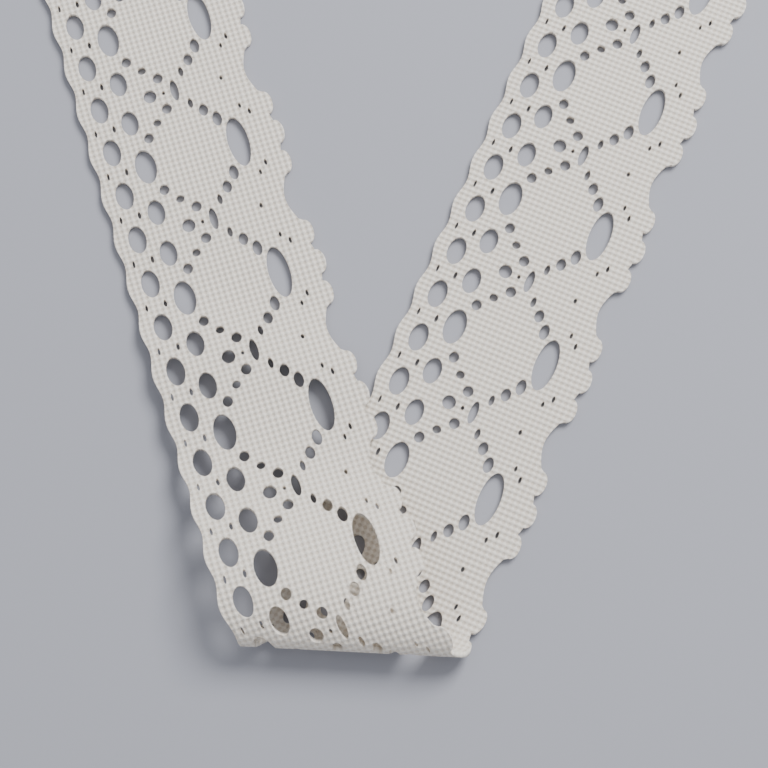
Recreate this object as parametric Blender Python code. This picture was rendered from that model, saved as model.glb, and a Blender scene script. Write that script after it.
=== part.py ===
"""A cut length of cream cotton lace edging, folded over once and laid flat on a surface.

The lace is one piece of cloth, so it is one solid. It is drawn flat first, with its scalloped edge
and the gaps of its repeat cut through. The flat strip is then taken over one soft fold, so that it
lies as a V: the length that shows its face lies on top, and the length that shows its back comes
out from under it. Units are metres, and +Z is up.

Across the lace, places are given in rows: 0 is the row of large ground ovals, 1 is the row of long
lens gaps above the scallops, and the straight foot edge is a little below minus one half. Along the
lace, places are given in repeats, and every repeat is the same on both sides of its middle.
"""

import math

import bmesh
import bpy
from mathutils import Vector

MM = 0.001

# Driving sizes of the lace
REPEAT = 33.1 * MM
ROW = 22.2 * MM
REPEATS = 11
FIRST_REPEAT = -0.5
THICKNESS = 1.5 * MM

# Edges, in rows across
FOOT_ROW = -0.52
FOOT_WAVE = 0.02
FOOT_WAVES_PER_REPEAT = 3
VALLEY_ROW = 1.27
SHOULDER_ROW = 1.35
SHOULDER_HALF_LENGTH = 0.315
BAND_ROW = 1.40
PICOT_HEIGHT = 0.075
PICOT_HALF_LENGTH = 0.085
PICOTS = (-0.23, 0.0, 0.23)

# Points on the edges, per repeat
FOOT_POINTS = 12
VALLEY_POINTS = 5
PICOT_POINTS = 6

# The gaps of one repeat: name, along, across, length, width, corners, and whether it has a twin
# on the other side of the repeat's middle. Lengths are in repeats and widths in rows.
GAPS = (
    ("foot_oval", 1 / 6, -0.305, 0.206, 0.187, 10, True),
    ("foot_oval_middle", 0.5, -0.305, 0.206, 0.187, 10, False),
    ("ground_oval_large", 0.0, -0.010, 0.258, 0.220, 12, False),
    ("ground_oval_small", 0.345, -0.040, 0.190, 0.180, 10, True),
    ("diamond_shoulder", 0.20, 0.105, 0.080, 0.105, 6, True),
    ("link_top", 0.5, 0.240, 0.100, 0.140, 8, False),
    ("link_side", 0.38, 0.373, 0.080, 0.110, 6, True),
    ("link_lens", 0.5, 0.505, 0.165, 0.085, 8, False),
    ("fan_side", 0.30, 0.735, 0.095, 0.100, 6, True),
    ("fan_outer", 0.21, 0.845, 0.115, 0.100, 8, True),
    ("scallop_lens", 0.0, 0.985, 0.380, 0.215, 16, False),
)

# How the upper length lies, as unfolded cloth: where the middle of repeat 0 is on the ground oval
# row, the way the lace runs from there, and how far it is pulled out of square at its far end
UPPER_START = (-68.06 * MM, 51.11 * MM)
UPPER_HEADING = math.radians(-72.5)
LEAN = 0.02
LEAN_REPEATS = 10

# The fold: the way its edge runs, a point on that edge, and the slip of the lower layer along it
FOLD_HEADING = math.radians(-2.9)
FOLD_EDGE = (-6.42 * MM, -90.89 * MM)
FOLD_SLIP = 3.4 * MM
SLIP_FROM = -12 * MM
SLIP_LENGTH = 32 * MM

# The fold's section, from the upper length round to the lower one: name, distance in from the
# fold's edge, height of the cloth's middle, and flat strips up to the next row. Millimetres.
FOLD_SECTION = (
    ("lies_flat", 88.0, 0.75, 1),
    ("lifts", 76.0, 0.95, 2),
    ("clears_lower_layer", 62.0, 2.75, 1),
    ("over_lower_layer", 50.0, 3.20, 2),
    ("starts_to_climb", 40.0, 4.10, 2),
    ("climbs", 31.0, 6.60, 2),
    ("top_of_climb", 21.0, 9.60, 3),
    ("crest", 11.0, 11.20, 4),
    ("brow", 3.6, 9.70, 4),
    ("edge", 0.0, 5.80, 4),
    ("tuck", 3.2, 1.95, 3),
    ("lands", 9.5, 0.85, 2),
    ("lies_flat_below", 17.0, 0.75, 1),
    ("lower_layer", 30.0, 0.75, 1),
)

CREAM = (0.86, 0.80, 0.71, 1.0)
COTTON_ROUGHNESS = 0.9
MERGE = 1e-6


def clear_scene():
    for item in list(bpy.data.objects):
        bpy.data.objects.remove(item, do_unlink=True)


def cotton():
    """The matte cream cotton of the lace."""
    material = bpy.data.materials.new("cream_cotton")
    material.use_nodes = True
    shader = material.node_tree.nodes["Principled BSDF"]
    shader.inputs["Base Color"].default_value = CREAM
    shader.inputs["Roughness"].default_value = COTTON_ROUGHNESS
    shader.inputs["Metallic"].default_value = 0.0
    return material


def foot_edge(along):
    """Row of the foot edge, which swells a little beside each foot oval."""
    turn = 2 * math.pi * FOOT_WAVES_PER_REPEAT * (along - 1 / (2 * FOOT_WAVES_PER_REPEAT))
    return FOOT_ROW - FOOT_WAVE * math.cos(turn)


def scallop_points():
    """Points of one scallop, from one valley to the next, as (along, row)."""
    rise = SHOULDER_ROW - VALLEY_ROW
    arc = 0.5 - SHOULDER_HALF_LENGTH
    valley = []
    for step in range(VALLEY_POINTS):
        part = step / VALLEY_POINTS
        valley.append((-0.5 + arc * part, VALLEY_ROW + rise * (1 - math.cos(part * math.pi / 2))))
    points = list(valley)
    for middle in PICOTS:
        base = BAND_ROW if middle == 0 else (BAND_ROW + SHOULDER_ROW) / 2
        for step in range(PICOT_POINTS):
            turn = math.pi * step / (PICOT_POINTS - 1)
            along = middle - PICOT_HALF_LENGTH * math.cos(turn)
            points.append((along, base + PICOT_HEIGHT * math.sin(turn)))
    points.extend((-along, row) for along, row in reversed(valley))
    return points


def outline():
    """The strip's flat outline as (along, row), once round."""
    count = FOOT_POINTS * REPEATS
    foot = [FIRST_REPEAT + REPEATS * step / count for step in range(count + 1)]
    points = [(along, foot_edge(along)) for along in foot]
    for number in reversed(range(REPEATS)):
        middle = FIRST_REPEAT + 0.5 + number
        scallop = scallop_points() if number == REPEATS - 1 else scallop_points()[:-1]
        points.extend((middle + along, row) for along, row in reversed(scallop))
    return points


def gap_outlines():
    """Every gap that the strip's two cut ends don't cross, as a ring of (along, row)."""
    last = FIRST_REPEAT + REPEATS
    rings = []
    for number in range(-1, REPEATS + 1):
        for _name, along, row, length, width, corners, twin in GAPS:
            for side in (1, -1) if twin else (1,):
                middle = number + side * along
                if middle - length / 2 <= FIRST_REPEAT or middle + length / 2 >= last:
                    continue
                turns = [2 * math.pi * (step + 0.5) / corners for step in range(corners)]
                rings.append([(middle + length / 2 * math.cos(turn), row + width / 2 * math.sin(turn))
                              for turn in turns])
    return rings


def unfolded(along, row):
    """Where a point of the strip would lie if the upper length ran on without the fold."""
    across = Vector((-math.sin(UPPER_HEADING), math.cos(UPPER_HEADING)))
    run = Vector((math.cos(UPPER_HEADING), math.sin(UPPER_HEADING)))
    lean = LEAN * row * ROW * math.cos(math.pi * along / LEAN_REPEATS)
    return Vector(UPPER_START) + run * (along * REPEAT + lean) + across * (row * ROW)


def fold_samples():
    """The fold's section as (distance, height, distance along the cloth) on a smooth curve."""
    knots = [Vector((-reach * MM, height * MM)) for _name, reach, height, _strips in FOLD_SECTION]
    knots = [2 * knots[0] - knots[1]] + knots + [2 * knots[-1] - knots[-2]]
    places = []
    for number, (_name, _reach, _height, strips) in enumerate(FOLD_SECTION[:-1]):
        before, start, end, after = knots[number:number + 4]
        chord = (end - start).length
        leave = (end - before) * (chord / (end - before).length)
        arrive = (after - start) * (chord / (after - start).length)
        for step in range(strips):
            t = step / strips
            places.append(start * (2 * t**3 - 3 * t**2 + 1) + leave * (t**3 - 2 * t**2 + t)
                          + end * (3 * t**2 - 2 * t**3) + arrive * (t**3 - t**2))
    places.append(knots[-2])
    samples = [(places[0].x, places[0].y, places[0].x)]
    for before, place in zip(places, places[1:]):
        height = max(place.y, THICKNESS / 2)
        samples.append((place.x, height, samples[-1][2] + (place - before).length))
    return samples


def fold_normals(samples):
    """The upward side of the upper layer, at each sample, mitred between two flat strips."""
    normals = []
    for number in range(len(samples)):
        first = samples[max(number - 1, 0)]
        middle = samples[number]
        last = samples[min(number + 1, len(samples) - 1)]
        sides = []
        for start, end in ((first, middle), (middle, last)):
            way = Vector((end[0] - start[0], end[1] - start[1]))
            if way.length > 0:
                sides.append(Vector((-way.y, way.x)).normalized())
        mitre = sum(sides, Vector((0, 0))).normalized()
        normals.append(mitre / mitre.dot(sides[0]))
    return normals


def slip(travelled, edge):
    """How far the cloth has slid along the fold, by its distance round the fold."""
    part = (travelled - edge - SLIP_FROM) / SLIP_LENGTH
    part = min(max(part, 0), 1)
    return FOLD_SLIP * part * part * (3 - 2 * part)


def fold(point, samples, normals, edge):
    """Take a point of the flat strip, with its height from the cloth's middle, over the fold."""
    side = Vector((math.cos(FOLD_HEADING), math.sin(FOLD_HEADING)))
    out = Vector((math.sin(FOLD_HEADING), -math.cos(FOLD_HEADING)))
    flat = Vector((point.x, point.y)) - Vector(FOLD_EDGE)
    travelled = flat.dot(out)
    if travelled <= samples[0][2]:
        distance, height, normal = travelled, samples[0][1], Vector((0, 1))
    elif travelled >= samples[-1][2]:
        distance = samples[-1][0] - (travelled - samples[-1][2])
        height, normal = samples[-1][1], Vector((0, -1))
    else:
        number = max(i for i, sample in enumerate(samples) if sample[2] <= travelled)
        number = min(number, len(samples) - 2)
        start, end = samples[number], samples[number + 1]
        part = (travelled - start[2]) / (end[2] - start[2])
        distance = start[0] + (end[0] - start[0]) * part
        height = start[1] + (end[1] - start[1]) * part
        normal = normals[number].lerp(normals[number + 1], part)
    distance += normal.x * point.z
    height += normal.y * point.z
    place = Vector(FOLD_EDGE) + side * (flat.dot(side) + slip(travelled, edge)) + out * distance
    return Vector((place.x, place.y, height))


def flat_strip():
    """The flat strip with its gaps, as a mesh: one filled outline, given the cloth's thickness."""
    curve = bpy.data.curves.new("lace_outline", "CURVE")
    curve.dimensions = "2D"
    curve.fill_mode = "BOTH"
    curve.extrude = THICKNESS / 2
    for ring in [outline()] + gap_outlines():
        spline = curve.splines.new("POLY")
        spline.points.add(len(ring) - 1)
        for target, (along, row) in zip(spline.points, ring):
            target.co = (*unfolded(along, row), 0, 1)
        spline.use_cyclic_u = True
    drawing = bpy.data.objects.new("lace_outline", curve)
    bpy.context.scene.collection.objects.link(drawing)
    graph = bpy.context.evaluated_depsgraph_get()
    mesh = bpy.data.meshes.new_from_object(drawing.evaluated_get(graph))
    bpy.data.objects.remove(drawing, do_unlink=True)
    return mesh


def folded_lace(collection):
    """The lace: the flat strip, creased along the fold's section and taken over it."""
    samples = fold_samples()
    normals = fold_normals(samples)
    edge = max(samples)[2]
    out = Vector((math.sin(FOLD_HEADING), -math.cos(FOLD_HEADING), 0))
    mesh = flat_strip()
    cloth = bmesh.new()
    cloth.from_mesh(mesh)
    bmesh.ops.remove_doubles(cloth, verts=cloth.verts, dist=MERGE)
    for _distance, _height, travelled in samples:
        line = Vector((*FOLD_EDGE, 0)) + out * travelled
        everything = cloth.verts[:] + cloth.edges[:] + cloth.faces[:]
        bmesh.ops.bisect_plane(cloth, geom=everything, dist=MERGE, plane_co=line, plane_no=out)
    for vertex in cloth.verts:
        vertex.co = fold(vertex.co, samples, normals, edge)
    bmesh.ops.recalc_face_normals(cloth, faces=cloth.faces)
    if cloth.calc_volume(signed=True) < 0:
        bmesh.ops.reverse_faces(cloth, faces=cloth.faces)
    cloth.to_mesh(mesh)
    cloth.free()
    mesh.materials.clear()
    mesh.materials.append(cotton())
    mesh.name = "lace_trim"
    lace = bpy.data.objects.new("lace_trim", mesh)
    collection.objects.link(lace)
    return lace


def main():
    clear_scene()
    collection = bpy.data.collections.new("lace_trim")
    bpy.context.scene.collection.children.link(collection)
    folded_lace(collection)


main()
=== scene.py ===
# %% [markdown]
# A length of cotton bobbin lace, folded over once and laid on a pale surface.
# This lesson builds it the way the real lace is laid out: first flat, in the two directions that a
# lace maker counts in, and then over one soft fold. Everything is in metres, with +Z up. The packed
# model is loaded first, because it fixes the size and the place of every piece.

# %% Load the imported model
import math

import bmesh
import bpy
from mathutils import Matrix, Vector


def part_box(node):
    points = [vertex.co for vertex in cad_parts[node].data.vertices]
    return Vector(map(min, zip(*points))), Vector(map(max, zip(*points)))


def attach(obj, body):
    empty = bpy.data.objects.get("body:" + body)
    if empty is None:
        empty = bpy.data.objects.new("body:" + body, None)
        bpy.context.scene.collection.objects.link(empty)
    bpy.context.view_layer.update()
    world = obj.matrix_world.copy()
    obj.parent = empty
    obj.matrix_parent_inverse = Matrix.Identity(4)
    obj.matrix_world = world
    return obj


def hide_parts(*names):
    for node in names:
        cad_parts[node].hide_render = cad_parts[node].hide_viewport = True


MM = 0.001
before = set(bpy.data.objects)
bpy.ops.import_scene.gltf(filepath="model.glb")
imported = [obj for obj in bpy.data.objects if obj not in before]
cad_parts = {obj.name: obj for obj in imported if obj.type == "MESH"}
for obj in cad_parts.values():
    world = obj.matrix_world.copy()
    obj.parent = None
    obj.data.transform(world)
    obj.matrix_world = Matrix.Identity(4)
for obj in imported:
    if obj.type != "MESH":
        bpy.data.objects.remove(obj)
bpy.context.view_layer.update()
lace_low, lace_high = (Vector(corner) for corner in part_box("lace_trim"))
print("the lace lies in a box of", [round(side / MM, 1) for side in lace_high - lace_low], "mm")

# %% [markdown]
# The camera comes next, because it decides how large each detail shows. The photograph was taken
# from almost straight above with a short telephoto lens, so a 75 mm lens does the same here. A wide
# lens close by could frame the same lace, but it would spread the near edge too much.

# %% Camera
CAMERA_AIM = Vector((-3.46, -31.66, 0)) * MM
CAMERA_TILT = 0.2373
CAMERA_DISTANCE = 357.6 * MM
CAMERA_LENS = 75
CAMERA_SENSOR = 36
CAMERA_NEAREST = 10 * MM

camera_data = bpy.data.cameras.new("camera")
camera_data.lens = CAMERA_LENS
camera_data.sensor_width = CAMERA_SENSOR
camera_data.clip_start = CAMERA_NEAREST
camera = bpy.data.objects.new("camera", camera_data)
camera_way = Vector((0, -math.sin(CAMERA_TILT), math.cos(CAMERA_TILT)))
camera.location = CAMERA_AIM + camera_way * CAMERA_DISTANCE
camera.rotation_euler = (CAMERA_TILT, 0, 0)
bpy.context.scene.collection.objects.link(camera)
bpy.context.scene.camera = camera
print("the camera stands", round(camera.location.z / MM), "mm above the surface")

# %% [markdown]
# The lace is counted along its length in repeats of 33.1 mm, and across it in rows of 22.2 mm. The
# unfolded strip lies at an angle on the surface, so one function takes a counted place to metres.
# The rows also lean a little along the strip, one way at its start and the other way at its end, as
# they do in a length that was laid down by hand.

# %% The lace's own sizes
REPEAT = 33.1 * MM
ROW = 22.2 * MM
REPEATS = 11
FIRST_REPEAT = -0.5
THICKNESS = 1.5 * MM
CORE_THICKNESS = 1.2 * MM

UPPER_START = Vector((-68.06, 51.11)) * MM
UPPER_HEADING = math.radians(-72.5)
UPPER_RUN = Vector((math.cos(UPPER_HEADING), math.sin(UPPER_HEADING)))
UPPER_ACROSS = Vector((-UPPER_RUN.y, UPPER_RUN.x))
LEAN = 0.02
LEAN_REPEATS = 10


def unfolded(along, row):
    """Where a counted place of the strip would lie if the upper length ran on without the fold."""
    lean = LEAN * row * ROW * math.cos(math.pi * along / LEAN_REPEATS)
    return UPPER_START + UPPER_RUN * (along * REPEAT + lean) + UPPER_ACROSS * (row * ROW)


print("the flat strip is", round(REPEATS * REPEAT / MM, 1), "mm long")

# %% [markdown]
# A real fold isn't a sharp crease. The cloth leaves the surface, rises, turns over a round edge and
# comes back under itself. A table of a few places on that path, seen from the side, is easier to
# adjust than a simulation, and it gives the same fold each time.

# %% The places of the fold
FOLD_HEADING = math.radians(-2.9)
FOLD_EDGE = Vector((-6.42, -90.89)) * MM
FOLD_SIDE = Vector((math.cos(FOLD_HEADING), math.sin(FOLD_HEADING)))
FOLD_OUT = Vector((math.sin(FOLD_HEADING), -math.cos(FOLD_HEADING)))
FOLD_STEPS = 4

# name, distance in from the fold's edge, height of the cloth's middle; millimetres
FOLD_SECTION = (
    ("lies_flat", 88.0, 0.75),
    ("lifts", 76.0, 0.95),
    ("clears_lower_layer", 62.0, 2.75),
    ("over_lower_layer", 50.0, 3.20),
    ("starts_to_climb", 40.0, 4.10),
    ("climbs", 31.0, 6.60),
    ("top_of_climb", 21.0, 9.60),
    ("crest", 11.0, 11.20),
    ("brow", 3.6, 9.70),
    ("edge", 0.0, 5.80),
    ("tuck", 3.2, 1.95),
    ("lands", 9.5, 0.85),
    ("lies_flat_below", 17.0, 0.75),
    ("lower_layer", 30.0, 0.75),
)
print("the fold is drawn through", len(FOLD_SECTION), "places")


# %% [markdown]
# Straight runs between those places would show as bends in the lace, so a smooth curve goes through
# them. Each sample also keeps how far along the cloth it is, which is what the flat pattern needs.

# %% The fold as a smooth curve
def fold_samples():
    """The section as (distance, height, distance along the cloth) on a smooth curve."""
    knots = [Vector((-reach * MM, height * MM)) for _name, reach, height in FOLD_SECTION]
    knots = [2 * knots[0] - knots[1]] + knots + [2 * knots[-1] - knots[-2]]
    places = []
    for number in range(len(FOLD_SECTION) - 1):
        before, start, end, after = knots[number:number + 4]
        chord = (end - start).length
        leave = (end - before) * (chord / (end - before).length)
        arrive = (after - start) * (chord / (after - start).length)
        for step in range(FOLD_STEPS):
            t = step / FOLD_STEPS
            places.append(start * (2 * t**3 - 3 * t**2 + 1) + leave * (t**3 - 2 * t**2 + t)
                          + end * (3 * t**2 - 2 * t**3) + arrive * (t**3 - t**2))
    places.append(knots[-2])
    samples = [(places[0].x, places[0].y, places[0].x)]
    for before, place in zip(places, places[1:]):
        height = max(place.y, THICKNESS / 2)
        samples.append((place.x, height, samples[-1][2] + (place - before).length))
    return samples


SAMPLES = fold_samples()
CLOTH_EDGE = max(SAMPLES)[2]


def fold_normals():
    """The upward side of the upper layer at each sample."""
    normals = []
    for number in range(len(SAMPLES)):
        start = SAMPLES[max(number - 1, 0)]
        end = SAMPLES[min(number + 1, len(SAMPLES) - 1)]
        way = Vector((end[0] - start[0], end[1] - start[1]))
        normals.append(Vector((-way.y, way.x)).normalized())
    return normals


NORMALS = fold_normals()
print("the fold has", len(SAMPLES), "samples and is", round(max(SAMPLES, key=lambda s: s[1])[1] / MM, 1),
      "mm high at the cloth's middle")

# %% [markdown]
# One function bends the whole strip: it measures how far a flat point has travelled towards the
# fold, and looks up where the cloth is by then. On the way round, the real cloth has also slid a
# few millimetres along the fold, which is why its two lengths don't mirror each other exactly.

# %% Bend a flat point
FOLD_SLIP = 3.4 * MM
SLIP_FROM = -12 * MM
SLIP_LENGTH = 32 * MM


def slip(travelled):
    """How far the cloth has slid along the fold, by its distance round it."""
    part = min(max((travelled - CLOTH_EDGE - SLIP_FROM) / SLIP_LENGTH, 0), 1)
    return FOLD_SLIP * part * part * (3 - 2 * part)


def fold(x, y, lift):
    """Take a point of the flat strip, lifted from the cloth's middle, over the fold."""
    flat = Vector((x, y)) - FOLD_EDGE
    travelled = flat.dot(FOLD_OUT)
    if travelled <= SAMPLES[0][2]:
        distance, height, normal = travelled, SAMPLES[0][1], Vector((0, 1))
    elif travelled >= SAMPLES[-1][2]:
        distance = SAMPLES[-1][0] - (travelled - SAMPLES[-1][2])
        height, normal = SAMPLES[-1][1], Vector((0, -1))
    else:
        number = max(i for i, sample in enumerate(SAMPLES[:-1]) if sample[2] <= travelled)
        start, end = SAMPLES[number], SAMPLES[number + 1]
        part = (travelled - start[2]) / (end[2] - start[2])
        distance = start[0] + (end[0] - start[0]) * part
        height = start[1] + (end[1] - start[1]) * part
        normal = NORMALS[number].lerp(NORMALS[number + 1], part)
    place = FOLD_EDGE + FOLD_SIDE * (flat.dot(FOLD_SIDE) + slip(travelled))
    place += FOLD_OUT * (distance + normal.x * lift)
    return Vector((place.x, place.y, height + normal.y * lift))


lower_end = fold(*unfolded(FIRST_REPEAT + REPEATS, 0), 0)
print("row 0 of the lower length ends at", [round(side / MM, 1) for side in lower_end], "mm")


# %% [markdown]
# The lace maker opens each gap between the pairs of yarn, and the same gaps come back in every repeat.
# Each is an ellipse here, in a short table: its middle, its length along the lace and its width across
# it. A gap beside the middle has a twin on the other side.

# %% The gaps of one repeat
# name, along, across, length, width, and whether it has a twin
GAPS = (
    ("foot_oval", 1 / 6, -0.305, 0.206, 0.187, True),
    ("foot_oval_middle", 0.5, -0.305, 0.206, 0.187, False),
    ("foot_slit", 0.0, -0.410, 0.056, 0.028, False),
    ("foot_slit_twin", 1 / 3, -0.410, 0.056, 0.028, True),
    ("ground_slit", 0.0, -0.215, 0.056, 0.036, False),
    ("ground_slit_twin", 1 / 3, -0.215, 0.056, 0.036, True),
    ("ground_oval_large", 0.0, -0.010, 0.258, 0.220, False),
    ("ground_oval_small", 0.345, -0.040, 0.190, 0.180, True),
    ("diamond_shoulder", 0.20, 0.105, 0.080, 0.105, True),
    ("diamond_side", 0.295, 0.235, 0.058, 0.090, True),
    ("link_top", 0.5, 0.240, 0.100, 0.140, False),
    ("link_side", 0.38, 0.373, 0.080, 0.110, True),
    ("link_pin", 0.5, 0.387, 0.032, 0.036, False),
    ("link_lens", 0.5, 0.505, 0.165, 0.085, False),
    ("fan_top", 0.375, 0.625, 0.078, 0.055, True),
    ("fan_side", 0.30, 0.735, 0.095, 0.100, True),
    ("fan_outer", 0.21, 0.845, 0.115, 0.100, True),
    ("scallop_lens", 0.0, 0.985, 0.380, 0.220, False),
    ("edge_pin", 0.20, 1.190, 0.050, 0.032, True),
    ("edge_pin_low", 0.26, 1.110, 0.044, 0.030, True),
    ("fan_pin", 0.5, 1.010, 0.040, 0.036, False),
)
GAP_CORNERS = 28


def gap_rings():
    """Every gap that the two cut ends don't cross, as rings of (along, row)."""
    rings = []
    for number in range(-1, REPEATS + 1):
        for _name, along, row, length, width, twin in GAPS:
            for side in (1, -1) if twin else (1,):
                middle = number + side * along
                left, right = middle - length / 2, middle + length / 2
                if left <= FIRST_REPEAT or right >= FIRST_REPEAT + REPEATS:
                    continue
                turns = [2 * math.pi * step / GAP_CORNERS for step in range(GAP_CORNERS)]
                rings.append([(middle + length / 2 * math.cos(turn),
                               row + width / 2 * math.sin(turn)) for turn in turns])
    return rings


print("the strip has", len(gap_rings()), "gaps")

# %% [markdown]
# The foot is the straight edge that is sewn to a garment, and it only waves a little. The other edge
# is a row of scallops, and each carries three picots, the small round knobs. Both are formulas, so
# that a scallop is written once and laid out for each repeat.

# %% The two edges
FOOT_ROW = -0.52
FOOT_WAVE = 0.02
FOOT_WAVES = 3
FOOT_WAVE_START = 1 / 6
FOOT_POINTS = 30

VALLEY_ROW = 1.27
VALLEY_POINTS = 10
SHOULDER_ROW = 1.35
SHOULDER_HALF_LENGTH = 0.315
BAND_ROW = 1.40
PICOTS = (-0.23, 0.0, 0.23)
PICOT_HEIGHT = 0.075
PICOT_HALF_LENGTH = 0.085
PICOT_POINTS = 12


def foot_edge(along):
    """Row of the foot edge."""
    return FOOT_ROW - FOOT_WAVE * math.cos(2 * math.pi * FOOT_WAVES * (along - FOOT_WAVE_START))


def scallop():
    """Points of one scallop, from one valley to the next, as (along, row)."""
    rise = SHOULDER_ROW - VALLEY_ROW
    valley = []
    for step in range(VALLEY_POINTS):
        part = step / VALLEY_POINTS
        place = -0.5 + (0.5 - SHOULDER_HALF_LENGTH) * part
        valley.append((place, VALLEY_ROW + rise * (1 - math.cos(part * math.pi / 2))))
    points = list(valley)
    for middle in PICOTS:
        base = BAND_ROW if middle == 0 else (BAND_ROW + SHOULDER_ROW) / 2
        for step in range(PICOT_POINTS):
            turn = math.pi * step / (PICOT_POINTS - 1)
            points.append((middle - PICOT_HALF_LENGTH * math.cos(turn),
                           base + PICOT_HEIGHT * math.sin(turn)))
    points.extend((-along, row) for along, row in reversed(valley))
    return points


def strip_outline():
    """The flat outline once round, as (along, row)."""
    count = FOOT_POINTS * REPEATS
    foot = [FIRST_REPEAT + REPEATS * step / count for step in range(count + 1)]
    points = [(along, foot_edge(along)) for along in foot]
    for number in reversed(range(REPEATS)):
        piece = scallop() if number == REPEATS - 1 else scallop()[:-1]
        points.extend((number + FIRST_REPEAT + 0.5 + along, row) for along, row in reversed(piece))
    return points


print("the outline has", len(strip_outline()), "points")


# %% [markdown]
# A filled 2D curve turns the outline and its gaps into one flat sheet in a single step, where cutting
# several hundred gaps one by one would be slow and could leave stray faces.

# %% The flat sheet
WELD = 1e-6


def flat_sheet():
    """The outline and its gaps as one closed flat sheet."""
    curve = bpy.data.curves.new("lace_cloth", "CURVE")
    curve.dimensions = "2D"
    curve.fill_mode = "BOTH"
    curve.extrude = CORE_THICKNESS / 2
    for ring in [strip_outline()] + gap_rings():
        spline = curve.splines.new("POLY")
        spline.points.add(len(ring) - 1)
        for point, (along, row) in zip(spline.points, ring):
            point.co = (*unfolded(along, row), 0, 1)
        spline.use_cyclic_u = True
    drawing = bpy.data.objects.new("lace_cloth_drawing", curve)
    bpy.context.scene.collection.objects.link(drawing)
    graph = bpy.context.evaluated_depsgraph_get()
    mesh = bpy.data.meshes.new_from_object(drawing.evaluated_get(graph))
    bpy.data.objects.remove(drawing, do_unlink=True)
    mesh.name = "lace_cloth"
    return mesh


# %% [markdown]
# The sheet has points only along its outline and round its gaps, so it is cut across at each sample
# of the fold, which lets it bend there. The counted place of each corner is kept as its UV before
# anything moves, because the weave has to follow the lace and not the room.

# %% Fold the sheet
def folded_cloth():
    """The folded lace as one closed sheet."""
    mesh = flat_sheet()
    cloth = bmesh.new()
    cloth.from_mesh(mesh)
    bmesh.ops.remove_doubles(cloth, verts=cloth.verts, dist=WELD)
    out = Vector((*FOLD_OUT, 0))
    for _distance, _height, travelled in SAMPLES:
        line = Vector((*FOLD_EDGE, 0)) + out * travelled
        everything = cloth.verts[:] + cloth.edges[:] + cloth.faces[:]
        bmesh.ops.bisect_plane(cloth, geom=everything, dist=WELD, plane_co=line, plane_no=out)
    counted = cloth.loops.layers.uv.new("counted")
    for face in cloth.faces:
        for corner in face.loops:
            flat = Vector(corner.vert.co[:2]) - UPPER_START
            corner[counted].uv = (flat.dot(UPPER_RUN) / MM, flat.dot(UPPER_ACROSS) / MM)
    for vertex in cloth.verts:
        vertex.co = fold(*vertex.co)
    bmesh.ops.recalc_face_normals(cloth, faces=cloth.faces)
    if cloth.calc_volume(signed=True) < 0:
        bmesh.ops.reverse_faces(cloth, faces=cloth.faces)
    cloth.to_mesh(mesh)
    cloth.free()
    piece = bpy.data.objects.new("lace_cloth", mesh)
    bpy.context.scene.collection.objects.link(piece)
    return piece


lace = folded_cloth()
print("the cloth has", len(lace.data.polygons), "faces")

# %% [markdown]
# A material is a small sum of textures. A helper for one step of arithmetic keeps that sum readable,
# because each Math node takes two inputs, which are either other nodes or plain numbers.

# %% One step of arithmetic
def calculate(tree, operation, first, second=0.0):
    """The result of a Math node on two sockets or numbers."""
    node = tree.nodes.new("ShaderNodeMath")
    node.operation = operation
    for socket, value in zip(node.inputs, (first, second)):
        if isinstance(value, bpy.types.NodeSocket):
            tree.links.new(value, socket)
        else:
            socket.default_value = value
    return node.outputs[0]


# %% [markdown]
# Undyed cotton is a warm off-white with a soft, dry surface. The woven parts show a fine diagonal basket
# of yarns, so two crossed waves drive the bump, and a little noise makes the fuzz. The same height also
# sets the colour: painted shade, a darker cream, in the dents of the basket, and random tone from the
# noise. The yarns themselves aren't modelled: this is relief and painted shade in the material only, and
# it doesn't change the shape.

# %% Cotton
CREAM = (0.86, 0.80, 0.71, 1)
CREAM_FROM = 0.6
SHADED_CREAM = (0.70, 0.62, 0.52, 1)
SHADED_UP_TO = 0.1
COTTON_ROUGHNESS = 0.92
SHEEN = 0.35
SHEEN_ROUGHNESS = 0.6
YARN_STEP_MM = 1.3
FUZZ_SCALE = 6
FUZZ_DETAIL = 6
RELIEF_STRENGTH = 0.7
RELIEF_DEPTH = 0.3 * MM


def weave_height(tree):
    """The height of the diagonal basket and its fuzz."""
    place = tree.nodes.new("ShaderNodeUVMap")
    place.uv_map = "counted"
    split = tree.nodes.new("ShaderNodeSeparateXYZ")
    tree.links.new(place.outputs["UV"], split.inputs[0])
    waves = []
    for operation in ("ADD", "SUBTRACT"):
        diagonal = calculate(tree, operation, split.outputs["X"], split.outputs["Y"])
        turn = calculate(tree, "MULTIPLY", diagonal, math.pi / YARN_STEP_MM)
        waves.append(calculate(tree, "SINE", turn))
    basket = calculate(tree, "MULTIPLY", waves[0], waves[1])
    fuzz = tree.nodes.new("ShaderNodeTexNoise")
    fuzz.inputs["Scale"].default_value = FUZZ_SCALE
    fuzz.inputs["Detail"].default_value = FUZZ_DETAIL
    tree.links.new(place.outputs["UV"], fuzz.inputs["Vector"])
    return calculate(tree, "ADD", basket, fuzz.outputs["Fac"])


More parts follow.
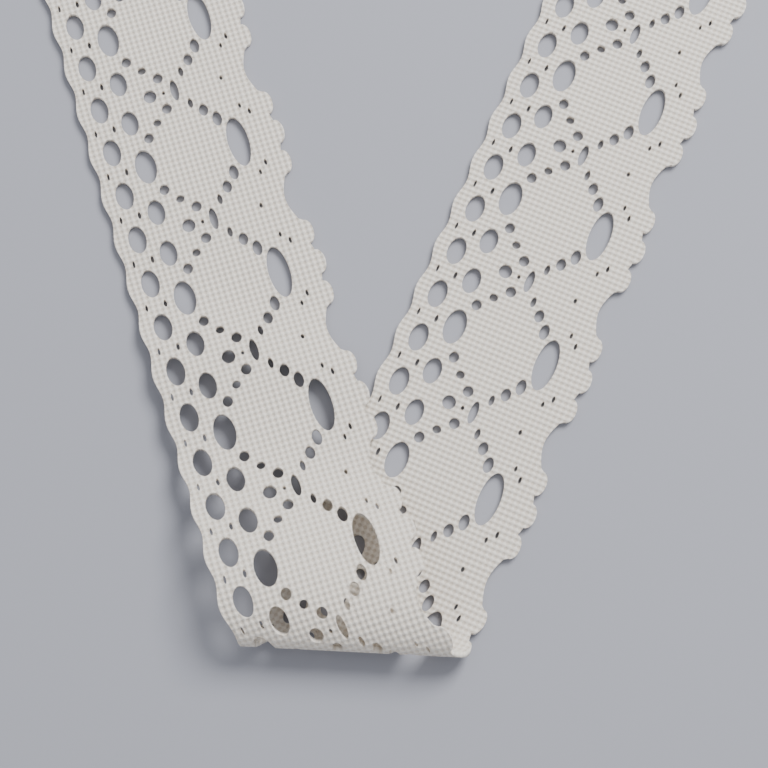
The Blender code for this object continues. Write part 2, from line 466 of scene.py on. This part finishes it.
def cotton():
    """Matte cream cotton with a diagonal weave, its dents painted a darker, shaded cream."""
    material = bpy.data.materials.new("cream_cotton")
    material.use_nodes = True
    tree = material.node_tree
    shader = tree.nodes["Principled BSDF"]
    shader.inputs["Roughness"].default_value = COTTON_ROUGHNESS
    shader.inputs["Sheen Weight"].default_value = SHEEN
    shader.inputs["Sheen Roughness"].default_value = SHEEN_ROUGHNESS
    height = weave_height(tree)
    bump = tree.nodes.new("ShaderNodeBump")
    bump.inputs["Strength"].default_value = RELIEF_STRENGTH
    bump.inputs["Distance"].default_value = RELIEF_DEPTH
    tree.links.new(height, bump.inputs["Height"])
    tree.links.new(bump.outputs["Normal"], shader.inputs["Normal"])
    # painted shade: where the weave's height is low, in the dents between the yarns, the cream turns
    # darker; the noise in the height adds random tone
    dent_shade_and_tone = tree.nodes.new("ShaderNodeValToRGB")
    shaded, full = dent_shade_and_tone.color_ramp.elements
    shaded.color = SHADED_CREAM
    shaded.position = SHADED_UP_TO
    full.color = CREAM
    full.position = CREAM_FROM
    tree.links.new(height, dent_shade_and_tone.inputs[0])
    tree.links.new(dent_shade_and_tone.outputs[0], shader.inputs["Base Color"])
    return material


lace.data.materials.clear()
lace.data.materials.append(cotton())
print("the lace wears", lace.data.materials[0].name)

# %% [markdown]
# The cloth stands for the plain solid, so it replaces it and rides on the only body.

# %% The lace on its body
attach(lace, "root")
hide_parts("lace_trim")

# %% [markdown]
# The surface is a plain blue-grey board. It is part of the stage and not of the object. It lies a
# tenth of a millimetre low, so that it never shares a plane with the cloth.

# %% Floor
BOARD = (0.33, 0.335, 0.375, 1)
BOARD_ROUGHNESS = 0.85
BOARD_HALF_SIDE = 3
BOARD_HEIGHT = -0.1 * MM

floor_mesh = bpy.data.meshes.new("floor")
floor_shape = bmesh.new()
bmesh.ops.create_grid(floor_shape, x_segments=1, y_segments=1, size=BOARD_HALF_SIDE)
floor_shape.to_mesh(floor_mesh)
floor_shape.free()
floor = bpy.data.objects.new("floor", floor_mesh)
floor.location.z = BOARD_HEIGHT
bpy.context.scene.collection.objects.link(floor)
board = bpy.data.materials.new("blue_grey_board")
board.use_nodes = True
board_shader = board.node_tree.nodes["Principled BSDF"]
board_shader.inputs["Base Color"].default_value = BOARD
board_shader.inputs["Roughness"].default_value = BOARD_ROUGHNESS
floor_mesh.materials.append(board)
print("the board is", 2 * BOARD_HALF_SIDE, "m across")

# %% [markdown]
# One large soft light stands behind the lace and to its right, and a pale room fills the shadows. A
# small lamp would draw hard edges round every gap, which the photograph doesn't have.

# %% Light
LIGHT_PLACE = Vector((0.45, 0.55, 0.75))
LIGHT_SIZE = 0.55
LIGHT_ENERGY = 17
ROOM = (0.93, 0.95, 1.0, 1)
ROOM_STRENGTH = 0.75

light_data = bpy.data.lights.new("soft_window", "AREA")
light_data.shape = "DISK"
light_data.size = LIGHT_SIZE
light_data.energy = LIGHT_ENERGY
light = bpy.data.objects.new("soft_window", light_data)
light.location = LIGHT_PLACE
light.rotation_euler = (-LIGHT_PLACE).to_track_quat("-Z", "Y").to_euler()
bpy.context.scene.collection.objects.link(light)
room = bpy.data.worlds.new("pale_room")
room.use_nodes = True
background = room.node_tree.nodes["Background"]
background.inputs["Color"].default_value = ROOM
background.inputs["Strength"].default_value = ROOM_STRENGTH
bpy.context.scene.world = room
print("the light stands", round(LIGHT_PLACE.length, 2), "m from the lace")
